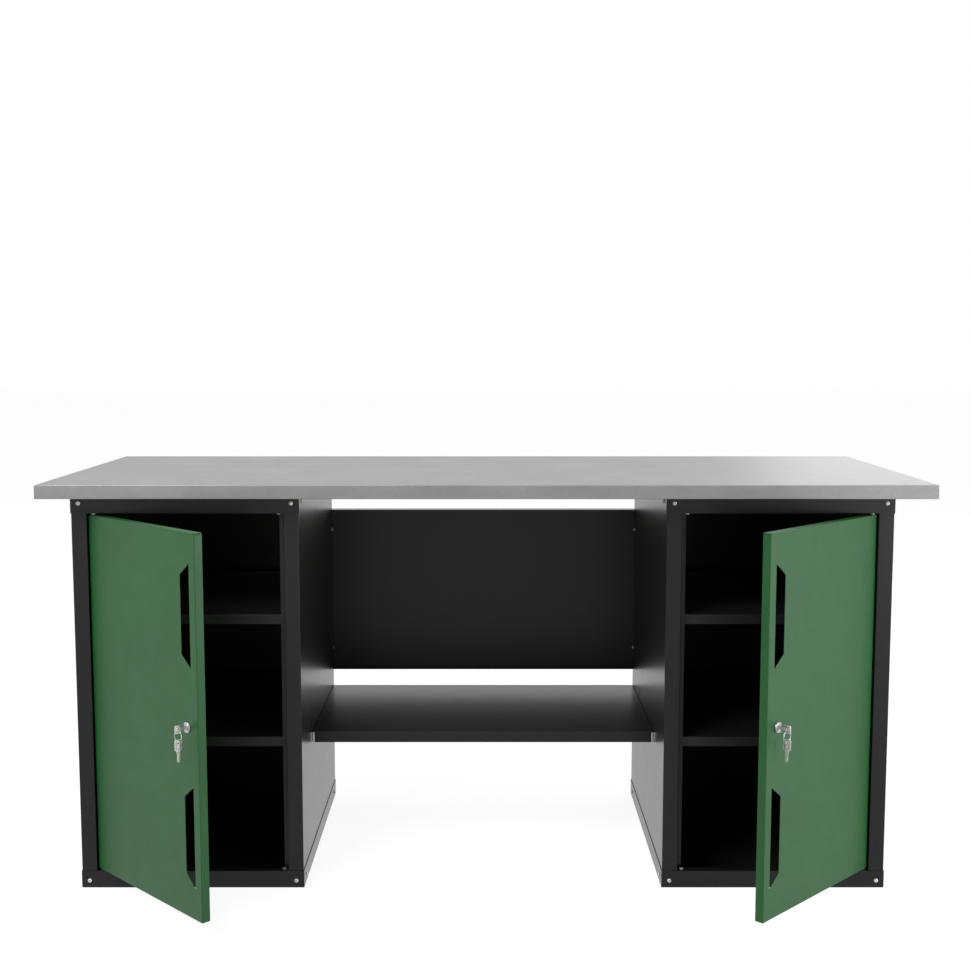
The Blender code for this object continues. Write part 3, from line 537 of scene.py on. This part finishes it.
def add_flange_screws(add):
    """Screws through the side flanges of the knee panel and the low shelf into the pedestals."""
    low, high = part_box("knee_back_panel")
    flange_y = low.y + PANEL_SCREW_DEPTH
    for end, x, outward in flange_ends(low, high):
        for row, z in (("lower", low.z + PANEL_SCREW_RISE), ("upper", high.z - PANEL_SCREW_DROP)):
            add(f"knee_panel_{end}_{row}_screw", (x, flange_y, z), outward)
    low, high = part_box("middle_shelf")
    for end, x, outward in flange_ends(low, high):
        for row, y in (("front", low.y + SHELF_SCREW_INSET), ("rear", high.y - SHELF_SCREW_INSET)):
            add(f"middle_shelf_{end}_{row}_screw", (x, y, (low.z + high.z) / 2), outward)


def rounded_outline(points, radius):
    """A closed outline with every corner rounded."""
    outline = []
    for index, corner in enumerate(points):
        corner = Vector(corner)
        to_before = (Vector(points[index - 1]) - corner).normalized()
        to_after = (Vector(points[(index + 1) % len(points)]) - corner).normalized()
        for step in range(CORNER_STEPS + 1):
            share = step / CORNER_STEPS
            start = corner + to_before * radius * (1 - share)
            end = corner + to_after * radius * share
            outline.append(tuple(start.lerp(end, share)))
    return outline


def rectangle(x_low, x_high, half):
    return [(x_low, -half), (x_high, -half), (x_high, half), (x_low, half)]


def disc(centre, radius):
    turns = [2 * pi * step / HOLE_SIDES for step in range(HOLE_SIDES)]
    return [(centre[0] + radius * cos(turn), centre[1] + radius * sin(turn)) for turn in turns]


def layer(bm, outline, thickness, holes=()):
    """Add a flat layer with softened edges, centred on Z = 0, from a filled 2D curve."""
    curve = bpy.data.curves.new("layer", "CURVE")
    curve.dimensions = "2D"
    curve.fill_mode = "BOTH"
    curve.extrude = thickness / 2 - LAYER_EDGE
    curve.bevel_depth = LAYER_EDGE
    curve.bevel_resolution = 2
    curve.offset = -LAYER_EDGE
    for points in (outline, *(list(reversed(hole)) for hole in holes)):
        spline = curve.splines.new("POLY")
        spline.points.add(len(points) - 1)
        for point, (x, y) in zip(spline.points, points):
            point.co = (x, y, 0, 1)
        spline.use_cyclic_u = True
    drawn = bpy.data.objects.new("layer", curve)
    bpy.context.scene.collection.objects.link(drawn)
    data = bpy.data.meshes.new_from_object(drawn.evaluated_get(bpy.context.evaluated_depsgraph_get()))
    bm.from_mesh(data)
    bpy.data.objects.remove(drawn, do_unlink=True)
    bpy.data.curves.remove(curve)
    bpy.data.meshes.remove(data)


def key_mesh():
    """A stamped key: a rim and a raised middle on its bow, a cut blade with a milled groove."""
    bow_start, bow_end = COLLAR_LENGTH, COLLAR_LENGTH + BOW_LENGTH
    half_bow, half_blade = BOW_WIDTH / 2, BLADE_WIDTH / 2
    bow = rounded_outline(rectangle(bow_start, bow_end, half_bow), BOW_CORNER)
    hole = disc((KEY_HOLE_X, 0), KEY_HOLE_RADIUS)
    pitch = BLADE_LENGTH / (len(TOOTH_DEPTHS) + 2)
    cuts = [(0, half_blade)]
    for tooth, depth in enumerate(TOOTH_DEPTHS):
        crest = -(tooth + 1) * pitch
        cuts += [(crest, half_blade), (crest - pitch * TOOTH_SLOPE, half_blade - depth),
                 (crest - pitch * (1 - TOOTH_SLOPE), half_blade - depth)]
    blade = [*cuts, (-BLADE_LENGTH, 0), (-BLADE_LENGTH + half_blade, -half_blade), (0, -half_blade)]
    collar_end = bow_start + COLLAR_OVERLAP
    collar = [(0, -half_blade), (collar_end, -COLLAR_WIDTH / 2), (collar_end, COLLAR_WIDTH / 2),
              (0, half_blade)]
    rim = rectangle(bow_start + BOW_RIM, bow_end - BOW_RIM, half_bow - BOW_RIM)
    inner = rounded_outline(rim, BOW_RIM_CORNER)
    middle = rectangle(bow_start + BOW_MIDDLE_INSET, bow_end - BOW_MIDDLE_INSET,
                       half_bow - BOW_MIDDLE_SIDE_INSET)
    raised = rounded_outline(middle, BOW_MIDDLE_CORNER)
    bm = bmesh.new()
    layer(bm, bow, KEY_THICKNESS - BOW_FLOOR_DROP, [hole])
    layer(bm, bow, KEY_THICKNESS, [inner])
    layer(bm, raised, KEY_THICKNESS - BOW_MIDDLE_DROP, [hole])
    layer(bm, collar, KEY_THICKNESS)
    layer(bm, list(reversed(blade)), KEY_THICKNESS - BLADE_FLOOR_DROP)
    tip = -BLADE_LENGTH + half_blade
    layer(bm, rectangle(tip, BLADE_OVERLAP, half_blade * RIB_SHARE), KEY_THICKNESS - BOW_MIDDLE_DROP)
    rail_high = -half_blade * RAIL_SHARE
    lower_rail = [(tip, -half_blade), (BLADE_OVERLAP, -half_blade), (BLADE_OVERLAP, rail_high),
                  (-BLADE_LENGTH + half_blade * RAIL_TIP_SHARE, rail_high)]
    layer(bm, lower_rail, KEY_THICKNESS - BOW_MIDDLE_DROP)
    return to_mesh(bm, "stamped_key", KEY_ANGLE)


def coil_mesh():
    """A split ring: two turns of wire side by side, its ends cut square, in the plane of X and Y."""
    bm = bmesh.new()
    rings = []
    for step in range(COIL_STEPS + 1):
        share = step / COIL_STEPS
        angle = 2 * pi * COIL_TURNS * share
        along = Vector((cos(angle), sin(angle), 0))
        lift = (share - 0.5) * COIL_TURNS * COIL_WIRE * COIL_CLOSENESS
        centre = along * RING_RADIUS + Vector((0, 0, lift))
        ring = []
        for side in range(COIL_SIDES):
            around = 2 * pi * side / COIL_SIDES
            spoke = along * cos(around) + Vector((0, 0, sin(around)))
            ring.append(bm.verts.new(centre + spoke * COIL_WIRE))
        rings.append(ring)
    for first, second in zip(rings, rings[1:]):
        for side in range(COIL_SIDES):
            after = (side + 1) % COIL_SIDES
            bm.faces.new((first[side], second[side], second[after], first[after]))
    bm.faces.new(rings[0])
    bm.faces.new(reversed(rings[-1]))
    bmesh.ops.recalc_face_normals(bm, faces=bm.faces)
    return to_mesh(bm, "split_ring", COIL_ANGLE)


def housing_mesh():
    """The lock's domed flange with a turned groove, its bore and its barrel."""
    lip = LOCK_BORE + LOCK_GROOVE
    rise = LOCK_DOME - LOCK_EDGE
    turns = [pi / 2 * step / LOCK_STEPS for step in range(LOCK_STEPS + 1)]
    dome = [(lip + (LOCK_RADIUS - lip) * sin(turn), LOCK_EDGE + rise * cos(turn)) for turn in turns]
    groove = [(LOCK_BORE + out, LOCK_DOME - down) for out, down in GROOVE_STEPS]
    profile = [(LOCK_BORE, -LOCK_LENGTH), *groove, *dome, (LOCK_RADIUS, SEAT_GAP), (LOCK_BARREL, SEAT_GAP),
               (LOCK_BARREL, -LOCK_LENGTH), (LOCK_BORE, -LOCK_LENGTH)]
    return lathe(profile, LOCK_SEGMENTS, "lock_flange", angle=LOCK_ANGLE)


def joint_vector(name, key):
    """A joint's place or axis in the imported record."""
    return Vector(next(item[key] for item in frame["joints"] if item["name"] == name))


def add_locks():
    """Finer locks, keys and rings in place of the plain ones."""
    key, coil, housing = key_mesh(), coil_mesh(), housing_mesh()
    nickel, chrome, cut = FINISHES["key_nickel"], FINISHES["lock_chrome"], KEY_FINISH
    up = Vector((0, 0, 1))
    for side in SIDES:
        ring_place = joint_vector(f"{side}_ring_swing", "pos_m")
        spare_place = joint_vector(f"{side}_spare_key_swing", "pos_m")
        lock_place = joint_vector(f"{side}_lock_turn", "pos_m")
        outward = joint_vector(f"{side}_key_slide", "axis")
        low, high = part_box(f"{side}_key")
        origin = ring_place - outward * KEY_HOLE_X
        origin.z = (low.z + high.z) / 2
        item = piece(f"{side}_key_stamped", key, cut, f"{side}_key", axes(origin, outward, up))
        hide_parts(f"{side}_key")
        low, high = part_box(f"{side}_spare_key")
        origin = Vector((spare_place.x, spare_place.y, high.z - COLLAR_LENGTH - BOW_LENGTH))
        item = piece(f"{side}_spare_key_stamped", key, cut, f"{side}_spare_key",
                     axes(origin, up, outward))
        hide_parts(f"{side}_spare_key")
        centre = ring_place - up * RING_RADIUS
        turn = axes(centre, outward.cross(up), up)
        item = piece(f"{side}_split_ring", coil, nickel, f"{side}_key_ring", turn)
        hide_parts(f"{side}_key_ring")
        aim = outward.to_track_quat("Z", "Y").to_matrix().to_4x4()
        item = piece(f"{side}_lock_flange", housing, chrome, f"{side}_door",
                     Matrix.Translation(lock_place) @ aim)
        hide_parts(f"{side}_lock_housing")


def seam_path(hinge, along, outward, top):
    """Places and normals across the free edge, then down round its front bend."""
    level = top - SEAM_DROP
    centre = hinge + along * (DOOR_REACH - DOOR_EDGE_BEND) + outward * (DOOR_HALF - DOOR_EDGE_BEND)
    rear = hinge + along * DOOR_REACH - outward * (DOOR_HALF - SEAM_END_INSET)
    rear.z = centre.z = level
    path = [(rear, along)]
    for step in range(SEAM_STEPS + 1):
        turn = pi / 2 * step / SEAM_STEPS
        normal = along * cos(turn) + outward * sin(turn)
        place = centre + normal * DOOR_EDGE_BEND
        place.z = level - SEAM_DIP * sin(turn) ** 2
        path.append((place, normal))
    return path


def seam_mesh(path, name, half):
    """A thin strip that follows a path just over a surface."""
    bm = bmesh.new()
    rings = []
    for index, (place, normal) in enumerate(path):
        before, after = path[max(index - 1, 0)][0], path[min(index + 1, len(path) - 1)][0]
        across = (after - before).cross(normal).normalized() * half
        high, low = place + normal * SEAM_PROUD, place - normal * SEAM_DEPTH
        corners = (high - across, high + across, low + across, low - across)
        rings.append([bm.verts.new(corner) for corner in corners])
    for first, second in zip(rings, rings[1:]):
        for side in range(4):
            after = (side + 1) % 4
            bm.faces.new((first[side], second[side], second[after], first[after]))
    bm.faces.new(rings[0])
    bm.faces.new(reversed(rings[-1]))
    bmesh.ops.recalc_face_normals(bm, faces=bm.faces)
    return to_mesh(bm, name)


def add_joint_shade(name, wall, rows, level, hand, half):
    """A dark strip of painted shade for a shadow gap that runs from front to rear along a pedestal's side."""
    path = [(Vector((wall, y, level)), Vector((hand, 0, 0))) for y in rows]
    piece(name, seam_mesh(path, name, half), SEAM_SHADE_FINISHES["black"], "bench")


def add_side_joint_shades(side, hand):
    """Strips of painted shade for the gaps under the top tray's side edges, and over the low shelf's end."""
    outer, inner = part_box(f"{side}_outer_side_panel"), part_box(f"{side}_inner_side_panel")
    rows = (inner[0].y + TRAY_JOINT_INSET, inner[1].y - TRAY_JOINT_INSET)
    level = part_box(f"{side}_top_tray")[0].z - TRAY_JOINT_HALF
    outside, knee = (outer[0].x, inner[1].x) if hand > 0 else (outer[1].x, inner[0].x)
    add_joint_shade(f"{side}_tray_outer_joint_shade", outside, rows, level, -hand, TRAY_JOINT_HALF)
    add_joint_shade(f"{side}_tray_inner_joint_shade", knee, rows, level, hand, TRAY_JOINT_HALF)
    low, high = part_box("middle_shelf")
    rows = (low.y + SHELF_JOINT_INSET, high.y - SHELF_JOINT_INSET)
    add_joint_shade(f"{side}_shelf_joint_shade", knee, rows, high.z + SHELF_JOINT_HALF, hand, SHELF_JOINT_HALF)


def add_seam_shades():
    """Strips of painted shade for the open joint at each door's top free corner, and for the gaps on the
    pedestals' sides.
    """
    for side, hand in SIDES.items():
        add_side_joint_shades(side, hand)
        hinge = joint_vector(f"{side}_door_hinge", "pos_m")
        outward = joint_vector(f"{side}_key_slide", "axis")
        along = Vector((0, 0, hand)).cross(outward)
        mesh = seam_mesh(seam_path(hinge, along, outward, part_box(f"{side}_door")[1].z),
                         f"{side}_door_seam_shade", SEAM_HALF)
        # A dark green strip of painted shade over the gap of the seam
        piece(f"{side}_door_seam_shade", mesh, SEAM_SHADE_FINISHES["green"], f"{side}_door")


def add_camera():
    data = bpy.data.cameras.new("camera")
    data.lens = CAMERA_LENS
    data.sensor_width = SENSOR_WIDTH
    data.clip_end = CAMERA_FAR
    camera = bpy.data.objects.new("camera", data)
    bpy.context.scene.collection.objects.link(camera)
    camera.location = (CAMERA_X, TOP_LOW.y - CAMERA_BEFORE_TOP, TOP_HIGH.z + CAMERA_OVER_TOP)
    camera.rotation_euler = (pi / 2 - CAMERA_PITCH, 0, 0)
    bpy.context.scene.camera = camera


def add_world():
    """White to the camera; to the surfaces, a pale studio that is brighter behind the bench."""
    world = bpy.data.worlds.new("studio")
    bpy.context.scene.world = world
    world.use_nodes = True
    tree = world.node_tree
    tree.nodes.clear()
    direction = node(tree, "ShaderNodeTexCoord").outputs["Generated"]
    along = node(tree, "ShaderNodeSeparateXYZ", {"Vector": direction}).outputs["Y"]

    def ramp(front, back):
        made = node(tree, "ShaderNodeMapRange",
                    {"Value": along, "From Min": SKY_FRONT_END, "From Max": SKY_BACK_START,
                     "To Min": front, "To Max": back})
        return made.outputs["Result"]

    rays = node(tree, "ShaderNodeLightPath")
    mirror = node(tree, "ShaderNodeMath", {0: rays.outputs["Is Glossy Ray"],
                                           1: rays.outputs["Is Transmission Ray"]}, operation="MAXIMUM")
    for_surfaces = node(tree, "ShaderNodeMix", {"Factor": mirror.outputs[0],
                                                "A": ramp(DIFFUSE_FRONT, DIFFUSE_BACK),
                                                "B": ramp(GLOSSY_FRONT, GLOSSY_BACK)}, data_type="FLOAT")
    level = node(tree, "ShaderNodeMix", {"Factor": rays.outputs["Is Camera Ray"],
                                         "A": for_surfaces.outputs[0], "B": 1.0}, data_type="FLOAT")
    sky = node(tree, "ShaderNodeBackground", {"Color": grey(1.0), "Strength": level.outputs[0]})
    node(tree, "ShaderNodeOutputWorld", {"Surface": sky.outputs[0]})


def add_floor():
    """A white floor that keeps the bench's shadow, lifted to the background's white for the camera."""
    bpy.ops.mesh.primitive_plane_add(size=FLOOR_SIZE, location=(0, 0, -FLOOR_DROP))
    floor = bpy.context.object
    floor.name = "studio_floor"
    made = bpy.data.materials.new("floor_white")
    made.use_nodes = True
    tree = made.node_tree
    tree.nodes.clear()
    rays = node(tree, "ShaderNodeLightPath")
    lift = node(tree, "ShaderNodeMath", {0: rays.outputs["Is Camera Ray"], 1: FLOOR_LIFT},
                operation="MULTIPLY")
    seen = blend_colours(tree, rays.outputs["Is Camera Ray"], grey(FLOOR_ALBEDO), grey(FLOOR_SEEN_ALBEDO))
    matt = node(tree, "ShaderNodeBsdfDiffuse", {"Color": seen})
    glow = node(tree, "ShaderNodeEmission", {"Color": grey(1.0), "Strength": lift.outputs[0]})
    both = node(tree, "ShaderNodeAddShader", {0: matt.outputs[0], 1: glow.outputs[0]})
    node(tree, "ShaderNodeOutputMaterial", {"Surface": both.outputs[0]})
    floor.data.materials.append(made)
    floor.visible_glossy = False


def add_lamp(name, place, aim, size, power):
    data = bpy.data.lights.new(name, "AREA")
    data.shape = "RECTANGLE"
    data.size, data.size_y = size
    data.energy = power
    lamp = bpy.data.objects.new(name, data)
    bpy.context.scene.collection.objects.link(lamp)
    lamp.location = place
    lamp.rotation_euler = (Vector(aim) - Vector(place)).to_track_quat("-Z", "Y").to_euler()
    lamp.visible_camera = False


dress_nodes()
add_screws()
add_locks()
add_seam_shades()
add_camera()
add_world()
add_floor()
for lamp in LAMPS:
    add_lamp(*lamp)
bpy.context.scene.view_settings.view_transform = "Standard"
